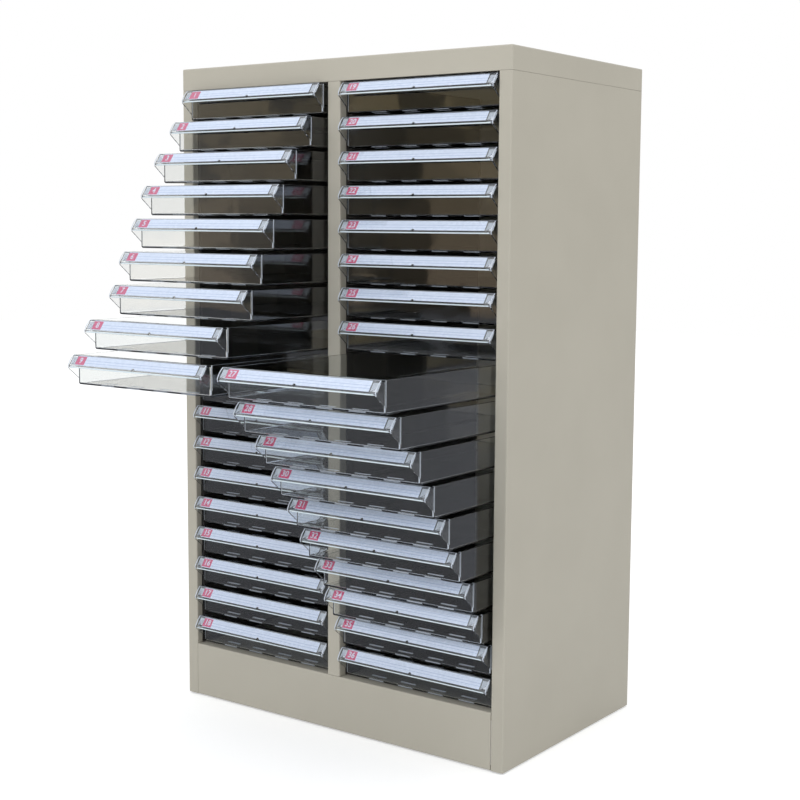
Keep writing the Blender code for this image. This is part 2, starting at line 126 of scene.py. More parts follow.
class MouldingSizes(PropertyGroup):
    """The clear moulding of a drawer."""
    wall: metres("Wall", "Thickness of the tray's walls and floor", 0.0020)
    corner_radius: metres("Corner radius", "Outer radius of the upright corners", 0.0030)
    foot_radius: metres("Foot radius", "Outer radius between walls and floor", 0.0025)
    inner_radius: metres("Inner radius", "Radius between walls and floor inside", 0.0012)
    rim_radius: metres("Rim radius", "Rounding of the rim", 0.0007)
    ledge: metres("Ledge", "Depth of the flat ledge in front of the wall", 0.0070)
    plate: metres("Plate", "Thickness of the label plate", 0.0022)
    lip_reach: metres("Lip reach", "How far the lip stands in front of the wall", 0.0165)
    lip_drop: metres("Lip drop", "How far the lip's top lies under the rim", 0.0135)
    lip_height: metres("Lip height", "Height of the lip", 0.0028)
    lip_tuck: metres("Lip tuck", "How far the lip's foot is drawn back", 0.0010)
    cheek: metres("Cheek", "Thickness of an end cheek", 0.0017)
    cheek_drop: metres("Cheek drop", "How far a cheek reaches down from the rim", 0.0310)
    cheek_proud: metres("Cheek proud", "How far a cheek stands out past the plate", 0.0006)
    cheek_bulge: metres("Cheek bulge", "Rise of a cheek's curved front edge", 0.0012)
    cheek_root: metres("Cheek root", "How far a cheek runs back into the side wall", 0.0025)
    cheek_bevel: metres("Cheek bevel", "Bevel of a cheek's edges", 0.0003)
    prism_height: metres("Prism height", "Height of a prism along the slope", 0.0130)
    prism_depth: metres("Prism depth", "How far a prism stands out behind the plate", 0.0052)
    prism_play: fraction("Prism play", "Share of its room that a prism leaves free", 0.02)
    groove_radius: metres("Groove radius", "Radius of the groove between label and lip", 0.0006)
    slot_count: IntProperty(name="Slot count", description="Slots in the floor", default=4)
    slot_pitch: metres("Slot pitch", "Distance between slots", 0.0480)
    slot_length: metres("Slot length", "Length of a slot", 0.0240)
    slot_width: metres("Slot width", "Width of a slot", 0.0035)
    slot_setback: metres("Slot setback", "From the front wall's face to the slots", 0.0160)
    tint: srgb("Tint", "What a clear wall lets through", "FCFDFC")
    shade_tint: srgb("Shade tint", "What one face lets through to light things", "EEEFF0")


class LabelSizes(PropertyGroup):
    """The label card with its index mark, and the clear strip over it."""
    recess_width: metres("Recess width", "Width of the recess for the label", 0.2140)
    recess_height: metres("Recess height", "Height of the recess along the slope", 0.0146)
    recess_rise: metres("Recess rise", "Rise of the recess from the slope's middle", 0.0004)
    recess_depth: metres("Recess depth", "Depth of the recess", 0.0009)
    fit: metres("Fit", "Play of the card and the strip in the recess", 0.0003)
    card: metres("Card", "Thickness of the card", 0.0003)
    cover: metres("Cover", "Thickness of the clear strip", 0.0004)
    ink: metres("Ink", "Thickness given to the print", 0.00004)
    corner: metres("Corner", "Corner radius of the card and the strip", 0.0006)
    notch: metres("Notch", "Radius of the notch that frees a card", 0.0021)
    mark_width: metres("Mark width", "Width of the index mark", 0.0165)
    mark_height: metres("Mark height", "Height of the index mark", 0.0122)
    digit_weight: metres("Digit weight", "Added weight of the number's strokes", 0.0002)
    digit_size: metres("Digit size", "Type size of the number on the mark", 0.0112)
    paper: srgb("Paper", "The card", "FAFBFE")
    rule: srgb("Rule", "The printed writing line", "B9C6DA")
    rule_middle: fraction("Rule middle", "Height of the writing lines' middle", 0.42)
    rule_spread: fraction("Rule spread", "From that middle to each line", 0.13)
    rule_width: fraction("Rule width", "Width of a line", 0.048)
    mark: srgb("Mark", "Red ink of the index mark", "E23C63")
    # The strip's blue tint is partly painted reflection: the cool sky that the labels mirror
    strip_tint: srgb("Strip tint", "What the clear strip lets through", "E4EDFC")
    strip_shade: srgb("Strip shade", "What one face of the strip lets through", "FBFCFD")


class BeadSizes(PropertyGroup):
    """The white bead along the lip: a painted highlight for the clear lip's bright line."""
    length: metres("Length", "Length of the bead", 0.2280)
    height: metres("Height", "Height of the bead", 0.0017)
    seat: metres("Seat", "Thickness of the bead's edges", 0.0001)
    bulge: metres("Bulge", "Rise of the bead's round face", 0.0004)
    gap: metres("Gap", "Glue line under the bead", 0.00003)
    drop: metres("Drop", "How far the bead lies under the lip's middle", 0.0004)
    # The bead's white is a painted highlight: the bright line that the clear lip bends out of the
    # light
    white: srgb("White", "Soft white plastic", "EAF6FB")


class StageLook(PropertyGroup):
    """Floor, light and camera."""
    floor_width: metres("Floor width", "Width of the floor", 14.0)
    floor_colour: srgb("Floor", "Pale floor", "E6E6E4")
    floor_mirrored: srgb("Mirrored floor", "The floor as clear walls mirror it", "A0A2A8")
    key_power: FloatProperty(name="Key power", description="Power of the large soft light",
                             default=77.0, unit="POWER")
    fill_power: FloatProperty(name="Fill power", description="Power of the soft light at the side",
                              default=7.5, unit="POWER")
    focal_length: FloatProperty(name="Focal length", description="Focal length in millimetres",
                                default=65.61, unit="CAMERA")


def sizes_of(group):
    """The scene's properties for one group of pieces."""
    return getattr(bpy.context.scene, "cabinet_" + group)


def place_of(body):
    """Where a drawer's moulding has its origin: under the front wall's face, in the middle."""
    low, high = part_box(body)
    sizes = sizes_of("moulding")
    return Vector(((low.x + high.x) / 2, low.y + sizes.lip_reach + sizes.cheek_proud, low.z))


def drawer_size():
    """Width, length behind the front wall's face and height of a drawer."""
    low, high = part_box(DRAWERS[0])
    sizes = sizes_of("moulding")
    return high.x - low.x, high.y - low.y - sizes.lip_reach - sizes.cheek_proud, high.z - low.z


def new_object(name, data, materials=()):
    """An object of a mesh or other data, linked to the scene."""
    thing = bpy.data.objects.new(name, data)
    for material in materials:
        data.materials.append(material)
    bpy.context.scene.collection.objects.link(thing)
    return thing


def plain_mesh(name, work):
    """Turn a bmesh into a mesh."""
    mesh = bpy.data.meshes.new(name)
    work.to_mesh(mesh)
    work.free()
    return mesh


def extruded(points, way):
    """A bmesh of a face, given by its corners, pulled along a way."""
    work = bmesh.new()
    face = work.faces.new([work.verts.new(point) for point in points])
    made = bmesh.ops.extrude_face_region(work, geom=[face])
    moved = [item for item in made["geom"] if isinstance(item, bmesh.types.BMVert)]
    bmesh.ops.translate(work, vec=way, verts=moved)
    bmesh.ops.recalc_face_normals(work, faces=work.faces)
    return work


def cone(segments, low_radius, high_radius, depth):
    """A bmesh of a closed cone or cylinder round Z."""
    work = bmesh.new()
    bmesh.ops.create_cone(work, cap_ends=True, segments=segments, radius1=low_radius,
                          radius2=high_radius, depth=depth)
    return work


def bevel_rims(work, axis, width):
    """Round the edges that lie across an axis."""
    rims = [edge for edge in work.edges
            if abs(edge.verts[0].co[axis] - edge.verts[1].co[axis]) < MERGE_DISTANCE]
    bmesh.ops.bevel(work, geom=rims, offset=width, segments=2, profile=0.5, affect="EDGES")


def object_from(name, work, matrix=Matrix(), materials=()):
    """An object of a closed bmesh that a matrix lays into place, with its faces pointing out."""
    bmesh.ops.transform(work, matrix=matrix, verts=work.verts)
    bmesh.ops.recalc_face_normals(work, faces=work.faces)
    return new_object(name, plain_mesh(name, work), materials)


def evaluated(thing):
    """The object's mesh with its modifiers applied."""
    depsgraph = bpy.context.evaluated_depsgraph_get()
    return bpy.data.meshes.new_from_object(thing.evaluated_get(depsgraph))


def bake(thing):
    """Apply every modifier of an object."""
    mesh = evaluated(thing)
    thing.modifiers.clear()
    thing.data = mesh


def discard(thing):
    """Remove a helper object."""
    bpy.data.objects.remove(thing, do_unlink=True)


def combine(part, tool, operation):
    """Join a tool to a part, or cut it out, and remove the tool."""
    step = part.modifiers.new(operation.lower(), "BOOLEAN")
    step.object = tool
    step.operation = operation
    step.solver = "EXACT"
    bake(part)
    discard(tool)


def smooth(thing):
    """Shade a piece smooth between its sharp edges, with its large faces kept flat."""
    thing.data.shade_smooth()
    thing.data.set_sharp_from_angle(angle=SHARP_ANGLE)
    step = thing.modifiers.new("flat_faces", "WEIGHTED_NORMAL")
    step.keep_sharp = True
    bake(thing)


def smooth_mesh(thing):
    """The smoothed mesh of a helper object, which is removed."""
    smooth(thing)
    mesh = thing.data
    discard(thing)
    return mesh


def copy_of(template, name, body):
    """A copy of a template mesh at a drawer's place, which rides on that drawer."""
    mesh = template.copy()
    mesh.transform(Matrix.Translation(place_of(body)))
    piece = new_object(body.replace("drawer", name), mesh)
    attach(piece, body)
    return piece


def add(tree, kind, inputs=None, **settings):
    """Add a node, set its fields, and fill or link its inputs by name or number."""
    node = tree.nodes.new(kind)
    for field, value in settings.items():
        setattr(node, field, value)
    for socket, value in (inputs or {}).items():
        if isinstance(value, bpy.types.Node):
            value = value.outputs[0]
        if isinstance(value, bpy.types.NodeSocket):
            tree.links.new(value, node.inputs[socket])
        else:
            node.inputs[socket].default_value = value
    return node


def new_material(name):
    """A material with an empty node tree, the tree, and the piece's own coordinates in it."""
    material = bpy.data.materials.new(name)
    material.use_nodes = True
    tree = material.node_tree
    tree.nodes.clear()
    return material, tree, add(tree, "ShaderNodeTexCoord").outputs["Object"]


def surfaced(material, shader):
    """The material, with a shader as its surface."""
    add(material.node_tree, "ShaderNodeOutputMaterial", {"Surface": shader})
    return material


def mottled(tree, place, width, colour, shade):
    """A colour that drifts into another one in clouds of a given width."""
    cloud = add(tree, "ShaderNodeTexNoise", {"Vector": place, "Scale": 1 / width, "Detail": 3.0})
    spread = add(tree, "ShaderNodeMapRange", {"Value": cloud, "From Min": 0.35, "From Max": 0.65})
    return add(tree, "ShaderNodeMix", {0: spread, 6: opaque(colour), 7: opaque(shade)},
               data_type="RGBA").outputs[2]


def relief(tree, place, width, height, strength):
    """A bump of rounded swellings of a given width and height."""
    swell = add(tree, "ShaderNodeTexNoise", {"Vector": place, "Scale": 1 / width, "Detail": 1.0})
    return add(tree, "ShaderNodeBump", {"Height": swell, "Strength": strength, "Distance": height})


def sprayed_paint(name, colour, shade, roughness, peel_width, peel_height):
    """A paint film with clouds of colour, orange peel and a slightly uneven gloss."""
    material, tree, place = new_material(name)
    cloud_width, haze_width = 0.11, 0.035
    film = mottled(tree, place, cloud_width, colour, shade)
    haze = add(tree, "ShaderNodeTexNoise", {
        "Vector": place, "Scale": 1 / haze_width, "Detail": 2.0})
    rough = add(tree, "ShaderNodeMapRange", {
        "Value": haze, "To Min": roughness - 0.04, "To Max": roughness + 0.05})
    peel = relief(tree, place, peel_width, peel_height, strength=0.35)
    return surfaced(material, add(tree, "ShaderNodeBsdfPrincipled", {
        "Base Color": film, "Roughness": rough, "Normal": peel}))


def powder_coated_steel():
    """Powder coat: even, warm light grey and satin, with a fine orange peel.

    The peel is about 1 mm wide on the real sheet and is drawn 3 mm wide, so that it shows.
    """
    look = sizes_of("casing")
    return sprayed_paint("powder_coated_steel", look.paint, look.paint_shade, look.roughness,
                         peel_width=0.003, peel_height=0.00006)


def enamelled_rack_steel():
    """Dip enamel on folded strip: satin, with slow runs that catch a dull light. Its dark colour is
    painted shade for the dim inside of the cabinet.
    """
    look = sizes_of("casing")
    return sprayed_paint("enamelled_rack_steel", look.rack_paint, look.rack_shade, 0.5,
                         peel_width=0.006, peel_height=0.0001)


def moulded_nylon():
    """Moulded nylon: black and dull, with the fine grain of a spark-eroded tool."""
    look = sizes_of("casing")
    material, tree, place = new_material("moulded_nylon")
    grain = relief(tree, place, width=0.0006, height=0.00005, strength=0.5)
    return surfaced(material, add(tree, "ShaderNodeBsdfPrincipled", {
        "Base Color": opaque(look.glide), "Roughness": 0.6, "Normal": grain}))


def zinc_plated_rivet():
    """Zinc-plated rivet: pale bluish metal, softly mottled by tumbling."""
    material, tree, place = new_material("zinc_plated_rivet")
    plate = mottled(tree, place, 0.002, linear("B4B6B8"), linear("9C9FA3"))
    return surfaced(material, add(tree, "ShaderNodeBsdfPrincipled", {
        "Base Color": plate, "Metallic": 1.0, "Roughness": 0.35}))


def clear_plastic(name, tint, passed, wave_width, wave_height):
    """Clear plastic that bends what is seen through it and lets light through to what it covers.

    Moulding leaves slow flow waves in its faces, which make reflections wander. Light on its way to
    something else passes straight through, at a small loss for each face.
    """
    material, tree, place = new_material(name)
    wave = relief(tree, place, wave_width, wave_height, strength=0.5)
    shader = add(tree, "ShaderNodeBsdfPrincipled", {
        "Base Color": opaque(tint), "Roughness": 0.02, "IOR": 1.59, "Transmission Weight": 1.0,
        "Normal": wave})
    window = add(tree, "ShaderNodeBsdfTransparent", {"Color": opaque(passed)})
    path = add(tree, "ShaderNodeLightPath")
    lights = add(tree, "ShaderNodeMath", {
        0: path.outputs["Is Shadow Ray"], 1: path.outputs["Is Diffuse Ray"]}, operation="MAXIMUM")
    blend = add(tree, "ShaderNodeMixShader", {0: lights, 1: shader, 2: window})
    return surfaced(material, blend)


def moulded_polystyrene():
    """Clear crystal polystyrene, injection moulded: glassy, faintly grey, bright at its edges."""
    sizes = sizes_of("moulding")
    return clear_plastic("clear_moulded_polystyrene", sizes.tint, sizes.shade_tint,
                         wave_width=0.030, wave_height=0.00012)


def ground_polystyrene():
    """The same polystyrene with pale frosted faces: a painted highlight for the bright lines that
    light bent through clear edges makes.
    """
    material, tree, place = new_material("ground_polystyrene")
    scratches = relief(tree, place, width=0.0008, height=0.00004, strength=0.6)
    # The pale frost is a painted highlight, standing in for light that the clear edges bend out
    return surfaced(material, add(tree, "ShaderNodeBsdfPrincipled", {
        "Base Color": opaque(linear("E3EBF6")), "Roughness": 0.35, "IOR": 1.59,
        "Transmission Weight": 0.25, "Normal": scratches}))


def extruded_pvc():
    """Clear PVC strip, extruded: glossy, with faint waves along its length. Its blue tint is partly
    painted reflection of a cool sky.
    """
    sizes = sizes_of("label")
    return clear_plastic("clear_pvc_strip", sizes.strip_tint, sizes.strip_shade,
                         wave_width=0.045, wave_height=0.00008)


def label_paper():
    """Smooth white card: matt, with faint fibre clouds and two printed writing lines."""
    sizes = sizes_of("label")
    material, tree, place = new_material("label_card")
    paper = mottled(tree, place, 0.004, sizes.paper, linear("ECEFF4"))
    across = add(tree, "ShaderNodeSeparateXYZ", {0: place.node.outputs["UV"]})
    # How far a point is from the middle of the two lines, and then from the nearer one
    away = across.outputs["Y"]
    for distance in (sizes.rule_middle, sizes.rule_spread):
        away = add(tree, "ShaderNodeMath", {0: away, 1: distance}, operation="SUBTRACT")
        away = add(tree, "ShaderNodeMath", {0: away}, operation="ABSOLUTE")
    line = add(tree, "ShaderNodeMath", {0: away, 1: sizes.rule_width / 2}, operation="LESS_THAN")
    thin_ink = 0.8
    print_share = add(tree, "ShaderNodeMath", {0: line, 1: thin_ink}, operation="MULTIPLY")
    face = add(tree, "ShaderNodeMix", {0: print_share, 6: paper, 7: opaque(sizes.rule)},
               data_type="RGBA").outputs[2]
    return surfaced(material, add(tree, "ShaderNodeBsdfPrincipled", {
        "Base Color": face, "Roughness": 0.75}))


def printing_ink(name, colour, thin):
    """Offset ink on card: solid colour that lies slightly unevenly, with a low sheen."""
    material, tree, place = new_material(name)
    ink = mottled(tree, place, 0.0015, colour, thin)
    return surfaced(material, add(tree, "ShaderNodeBsdfPrincipled", {
        "Base Color": ink, "Roughness": 0.5}))


def soft_white_pvc():
    """Opaque white with a soft gloss that runs along it: a painted highlight for the bright line of
    the clear lip.
    """
    sizes = sizes_of("bead")
    material, tree, place = new_material("soft_white_pvc")
    along = add(tree, "ShaderNodeMapping", {0: place, "Scale": (0.1, 1.0, 1.0)})
    white = mottled(tree, along, 0.002, sizes.white, linear("E2F0F7"))
    return surfaced(material, add(tree, "ShaderNodeBsdfPrincipled", {
        "Base Color": white, "Roughness": 0.3, "IOR": 1.53}))


def arc(across, up, radius, start, end, steps):
    """Points of an arc, with its angles in quarter turns."""
    angles = [0.5 * math.pi * (start + (end - start) * step / steps) for step in range(steps + 1)]
    return [(across + radius * math.cos(angle), up + radius * math.sin(angle)) for angle in angles]


def rounded_rectangle(half_width, near, far, radius, steps):
    """Points of a rectangle with round corners, from its near left corner counterclockwise."""
    side, low, high = half_width - radius, near + radius, far - radius
    points = []
    for quarter, x, y in ((2, -side, low), (3, side, low), (0, side, high), (1, -side, high)):
        points += arc(x, y, radius, quarter, quarter + 1, steps)
    return points


def rounded_outline(points, radii, steps):
    """A closed outline with a fillet at each corner that has a radius."""
    points = [Vector(point) for point in points]
    outline = []
    for index, (point, radius) in enumerate(zip(points, radii)):
        if not radius:
            outline.append(point)
            continue
        back = (points[index - 1] - point).normalized()
        ahead = (points[(index + 1) % len(points)] - point).normalized()
        half = back.angle(ahead) / 2
        centre = point + (back + ahead).normalized() * radius / math.sin(half)
        first = point + back * radius / math.tan(half) - centre
        last = point + ahead * radius / math.tan(half) - centre
        turn = math.atan2(first.x * last.y - first.y * last.x, first.dot(last))
        outline += [centre + Matrix.Rotation(turn * step / steps, 2) @ first
                    for step in range(steps + 1)]
    return outline


def offset_chain(points, distance):
    """An open chain of points moved to its left, mitred at the corners."""
    points = [Vector(point) for point in points]
    ways = [(ahead - point).normalized() for point, ahead in zip(points, points[1:])]
    sides = [Vector((-way.y, way.x)) for way in ways]
    moved = [points[0] + sides[0] * distance]
    for point, one, two in zip(points[1:], sides, sides[1:]):
        moved.append(point + (one + two) * distance / (1 + one.dot(two)))
    moved.append(points[-1] + sides[-1] * distance)
    return moved


def prism(outline, low, high):
    """A bmesh of an outline (y, z) run along X from low to high."""
    return extruded([(low, y, z) for y, z in outline], (high - low, 0.0, 0.0))


def plate_chain():
    """Chain (y, z) of the plate's outer face, from the wall over the ledge to the lip's foot."""
    sizes = sizes_of("moulding")
    top = drawer_size()[2]
    return [
        (sizes.wall / 2, top),
        (-sizes.ledge, top),
        (-sizes.lip_reach, top - sizes.lip_drop),
        (-sizes.lip_reach + sizes.lip_tuck, top - sizes.lip_drop - sizes.lip_height),
    ]


def plate_plane(first, rise=0.0):
    """Matrix that lays X right, Y up and Z outwards on the middle of a face of the plate."""
    upper, lower = (Vector((0.0, *point)) for point in plate_chain()[first:first + 2])
    up = (upper - lower).normalized()
    across = Vector((1.0, 0.0, 0.0))
    lay = Matrix((across, up, across.cross(up))).transposed().to_4x4()
    return Matrix.Translation((upper + lower) / 2 + up * rise) @ lay


def label_plane():
    """The plane of the recess in the sloped face."""
    return plate_plane(1, sizes_of("label").recess_rise)


def tray_object():
    """The open tray: a profile from the floor over the rim to the foot, run round it."""
    sizes = sizes_of("moulding")
    width, length, height = drawer_size()
    wall, rim, foot, inner = sizes.wall, sizes.rim_radius, sizes.foot_radius, sizes.inner_radius
    profile = arc(wall + inner, wall + inner, inner, 3, 2, 3)
    profile += arc(wall - rim, height - rim, rim, 0, 1, 3)
    profile += arc(rim, height - rim, rim, 1, 2, 3)
    profile += arc(foot, foot, foot, 2, 3, 5)
    work = bmesh.new()
    loops = []
    for inset, level in profile:
        radius = max(sizes.corner_radius - inset, sizes.rim_radius)
        ring = rounded_rectangle(width / 2 - inset, inset, length - inset, radius, 5)
        loops.append([work.verts.new((x, y, level)) for x, y in ring])
    for one, two in zip(loops, loops[1:]):
        for index in range(len(one)):
            after = (index + 1) % len(one)
            work.faces.new((one[index], one[after], two[after], two[index]))
    work.faces.new(loops[0])
    work.faces.new(loops[-1])
    return object_from("tray", work)


def plate_object():
    """The ledge, the sloped label plate and the rounded lip."""
    sizes = sizes_of("moulding")
    outer = plate_chain()
    inner = offset_chain(outer, sizes.plate)
    brow, soft, hollow, foot = 0.0008, 0.0004, 0.0006, 0.45 * sizes.plate
    radii = (0.0, brow, soft, foot, foot, soft, hollow, 0.0)
    outline = rounded_outline(outer + inner[::-1], radii, 4)
    half = drawer_size()[0] / 2 - sizes.cheek / 2
    return object_from("plate", prism(outline, -half, half))


def cheek_outline():
    """Outline (y, z) of an end cheek, with a bulging front edge and a slope back to the wall."""
    sizes = sizes_of("moulding")
    top = drawer_size()[2]
    start = Vector((-sizes.ledge, top))
    end = Vector((-sizes.lip_reach - sizes.cheek_proud, top - sizes.lip_drop))
    along = end - start
    outward = Vector((along.y, -along.x)).normalized()
    bulge = [start + along * share + outward * sizes.cheek_bulge * math.sin(math.pi * share)
             for share in (step / 8 for step in range(1, 8))]
    foot = (end.x + sizes.lip_tuck, end.y - sizes.lip_height - sizes.cheek_proud)
    return [(sizes.cheek_root, top), start, *bulge, end, foot,
            (sizes.wall / 2, top - sizes.cheek_drop), (sizes.cheek_root, top - sizes.cheek_drop)]


def cheek_object(sign):
    """An end cheek with bevelled edges, flush with the tray's side."""
    sizes = sizes_of("moulding")
    outer = sign * drawer_size()[0] / 2
    work = prism(cheek_outline(), *sorted((outer, outer - sign * sizes.cheek)))
    bevel_rims(work, 0, sizes.cheek_bevel)
    return object_from("cheek", work)


def slab(width, height, low, high, notch=0.0):
    """A bmesh plate with round corners in the XY plane, and a notch in its lower edge."""
    corner = sizes_of("label").corner
    ring = rounded_rectangle(width / 2, -height / 2, height / 2, corner, 3)
    if notch:
        near_left = len(ring) // 4
        ring[near_left:near_left] = arc(0.0, -height / 2, notch, 2, 0, 8)
    return extruded([(x, y, low) for x, y in ring], (0.0, 0.0, high - low))


def prism_object(sign):
    """Four-sided prism behind a clear end of the label plate, which sends light back out."""
    sizes = sizes_of("moulding")
    clear_end = drawer_size()[0] / 2 - sizes.cheek
    width = clear_end - sizes_of("label").recess_width / 2
    # A cone of four sides whose base, turned straight, is a square of side 1
    work = cone(4, 0.0, math.sqrt(0.5), sizes.prism_depth)
    straight = Matrix.Rotation(math.pi / 4, 4, "Z")
    sized = Matrix.Diagonal((width * (1 - sizes.prism_play), sizes.prism_height, 1.0, 1.0))
    drop = -sizes.plate + OVERRUN - sizes.prism_depth / 2
    moved = Matrix.Translation((sign * (clear_end - width / 2), 0.0, drop))
    return object_from("prism", work, plate_plane(1) @ moved @ sized @ straight)


def cutters():
    """Cutters for the label's recess, the notch behind its card and the groove along the lip."""
    label, moulding = sizes_of("label"), sizes_of("moulding")
    depth, radius = label.recess_depth, moulding.groove_radius
    recess = slab(label.recess_width, label.recess_height, -depth, depth)
    notch = cone(20, label.notch, label.notch, 4 * moulding.plate)
    groove = cone(12, radius, radius, label.recess_width)
    lowered = Matrix.Translation((0.0, -label.recess_height / 2, 0.0))
    corner = Matrix.Translation((0.0, *plate_chain()[2]))
    return (object_from("recess", recess, label_plane()),
            object_from("notch", notch, label_plane() @ lowered),
            object_from("groove", groove, corner @ Matrix.Rotation(math.pi / 2, 4, "Y")))


def new_geometry_tree(name, **inputs):
    """A Geometry Nodes tree with a geometry, a material and other inputs, and one output."""
    tree = bpy.data.node_groups.new(name, "GeometryNodeTree")
    for label, kind in {"Geometry": "Geometry", **inputs, "Material": "Material"}.items():
        tree.interface.new_socket(label, in_out="INPUT", socket_type="NodeSocket" + kind)
    tree.interface.new_socket("Geometry", in_out="OUTPUT", socket_type="NodeSocketGeometry")
    return tree, tree.nodes.new("NodeGroupInput").outputs


def finished(tree, geometry, material):
    """The tree, with real meshes in one material as its result."""
    real = add(tree, "GeometryNodeRealizeInstances", {"Geometry": geometry})
    dressed = add(tree, "GeometryNodeSetMaterial", {"Geometry": real, "Material": material})
    add(tree, "NodeGroupOutput", {"Geometry": dressed})
    return tree


def run_tree(thing, tree, values):
    """Run a tree on an object with its inputs set, and keep the result as a plain mesh."""
    step = thing.modifiers.new(tree.name, "NODES")
    step.node_group = tree
    for item in tree.interface.items_tree:
        if item.name in values and item.in_out == "INPUT":
            step[item.identifier] = values[item.name]
    bake(thing)


def row_of_points(tree, count, pitch, across):
    """Points in a row along X, centred, at another input's place in Y."""
    gaps = add(tree, "ShaderNodeMath", {0: count, 1: 1.0}, operation="SUBTRACT")
    run = add(tree, "ShaderNodeMath", {0: gaps, 1: pitch}, operation="MULTIPLY")
    start = add(tree, "ShaderNodeMath", {0: run, 1: -0.5}, operation="MULTIPLY")
    first = add(tree, "ShaderNodeCombineXYZ", {"X": start, "Y": across})
    step = add(tree, "ShaderNodeCombineXYZ", {"X": pitch})
    return add(tree, "GeometryNodeMeshLine", {
        "Count": count, "Start Location": first, "Offset": step})


def slot_tree():
    """Geometry Nodes tree that cuts a row of round-ended slots into a floor."""
    tree, given = new_geometry_tree("floor_slots", Count="Int", Pitch="Float", Length="Float",
                                    Width="Float", Depth="Float", Setback="Float")
    box = add(tree, "GeometryNodeCurvePrimitiveQuadrilateral", {
        "Width": given["Length"], "Height": given["Width"]})
    # The ends' radius is just under half the width, so that their corners stay apart
    end = add(tree, "ShaderNodeMath", {0: given["Width"], 1: 0.49}, operation="MULTIPLY")
    oval = add(tree, "GeometryNodeFilletCurve", {"Curve": box, "Count": 4, "Radius": end},
               mode="POLY")
    face = add(tree, "GeometryNodeFillCurve", {"Curve": oval}, mode="NGONS")
    under = add(tree, "GeometryNodeFlipFaces", {"Mesh": face})
    body = add(tree, "GeometryNodeExtrudeMesh", {"Mesh": face, "Offset Scale": given["Depth"]})
    both = add(tree, "GeometryNodeJoinGeometry", {"Geometry": body})
    tree.links.new(under.outputs[0], both.inputs[0])
    closed = add(tree, "GeometryNodeMergeByDistance", {
        "Geometry": both, "Distance": MERGE_DISTANCE})
    points = row_of_points(tree, given["Count"], given["Pitch"], given["Setback"])
    low = add(tree, "ShaderNodeMath", {0: given["Depth"], 1: -0.5}, operation="MULTIPLY")
    drop = add(tree, "ShaderNodeCombineXYZ", {"Z": low})
    lowered = add(tree, "GeometryNodeTransform", {"Geometry": closed, "Translation": drop})
    row = add(tree, "GeometryNodeInstanceOnPoints", {"Points": points, "Instance": lowered})
    tools = add(tree, "GeometryNodeRealizeInstances", {"Geometry": row})
    cut = add(tree, "GeometryNodeMeshBoolean", {"Mesh 1": given["Geometry"], "Mesh 2": tools},
              operation="DIFFERENCE", solver="EXACT")
    return finished(tree, cut, given["Material"])


def rivet_tree():
    """Geometry Nodes tree that sets a row of rivet heads along X."""
    tree, given = new_geometry_tree("rivet_row", Count="Int", Pitch="Float", Place="Float")
    points = row_of_points(tree, given["Count"], given["Pitch"], given["Place"])
    row = add(tree, "GeometryNodeInstanceOnPoints", {
        "Points": points, "Instance": given["Geometry"]})
    return finished(tree, row, given["Material"])


def rivet_head():
    """A low dome with a hollow where the mandrel broke off, with its flange across Y."""
    sizes = sizes_of("rivets")
    radius, height = sizes.head_radius, sizes.head_height
    profile = [(0.0, 0.75), (0.25, 0.75), (0.32, 1.0), (0.6, 0.92), (0.85, 0.55), (1.0, 0.12),
               (1.0, 0.0), (0.0, 0.0)]
    work = bmesh.new()
    points = [work.verts.new((radius * out, 0.0, height * up)) for out, up in profile]
    edges = [work.edges.new(pair) for pair in zip(points, points[1:])]
    bmesh.ops.spin(work, geom=points + edges, cent=(0.0, 0.0, 0.0), axis=(0.0, 0.0, 1.0),
                   angle=2 * math.pi, steps=24)
    bmesh.ops.remove_doubles(work, verts=work.verts, dist=MERGE_DISTANCE)
    return object_from("deck_rivets", work, Matrix.Rotation(-0.5 * math.pi, 4, "X"))


def frost_edges(tray):
    """Frost the edges of the end cheeks and of the slots, and three sides of each prism, as a
    painted highlight of their bright edges.
    """
    sizes = sizes_of("moulding")
    half_width = drawer_size()[0] / 2
    inner = half_width - sizes.cheek - MERGE_DISTANCE
    clear_end = sizes_of("label").recess_width / 2
    flat = plate_plane(1).inverted()
    least_back, least_up = -0.3, -0.2
    for polygon in tray.data.polygons:
        corners = [tray.data.vertices[index].co for index in polygon.vertices]
        centre, normal = polygon.center, polygon.normal
        behind, turned = flat @ centre, flat.to_3x3() @ normal
        on_cheek = (abs(normal.x) < ON_EDGE
                    and all(abs(corner.x) > inner and corner.y < 0.0 for corner in corners))
        in_slot = (abs(normal.z) < ON_EDGE and abs(centre.x) < half_width - 2 * sizes.wall
                   and abs(centre.y - sizes.slot_setback) < sizes.slot_width)
        on_prism = (abs(behind.x) > clear_end and behind.z < -sizes.plate - OVERRUN
                    and abs(behind.y) < sizes.prism_height / 2
                    and turned.z < least_back and turned.y > least_up)
        # These faces take the frosted painted highlight
        if on_cheek or in_slot or on_prism:
            polygon.material_index = 1


def moulding_template(plastic, highlight_frost):
    """The whole clear moulding at its own origin, as a mesh."""
    sizes = sizes_of("moulding")
    tray = tray_object()
    run_tree(tray, slot_tree(), {
        "Count": sizes.slot_count, "Pitch": sizes.slot_pitch, "Length": sizes.slot_length,
        "Width": sizes.slot_width, "Depth": 3 * sizes.wall, "Setback": sizes.slot_setback,
        "Material": plastic})
    combine(tray, plate_object(), "UNION")
    for end_piece in (cheek_object, prism_object):
        for sign in (-1, 1):
            combine(tray, end_piece(sign), "UNION")
    for cutter in cutters():
        combine(tray, cutter, "DIFFERENCE")
    tray.data.materials.clear()
    for material in (plastic, highlight_frost):
        tray.data.materials.append(material)
    frost_edges(tray)
    return smooth_mesh(tray)


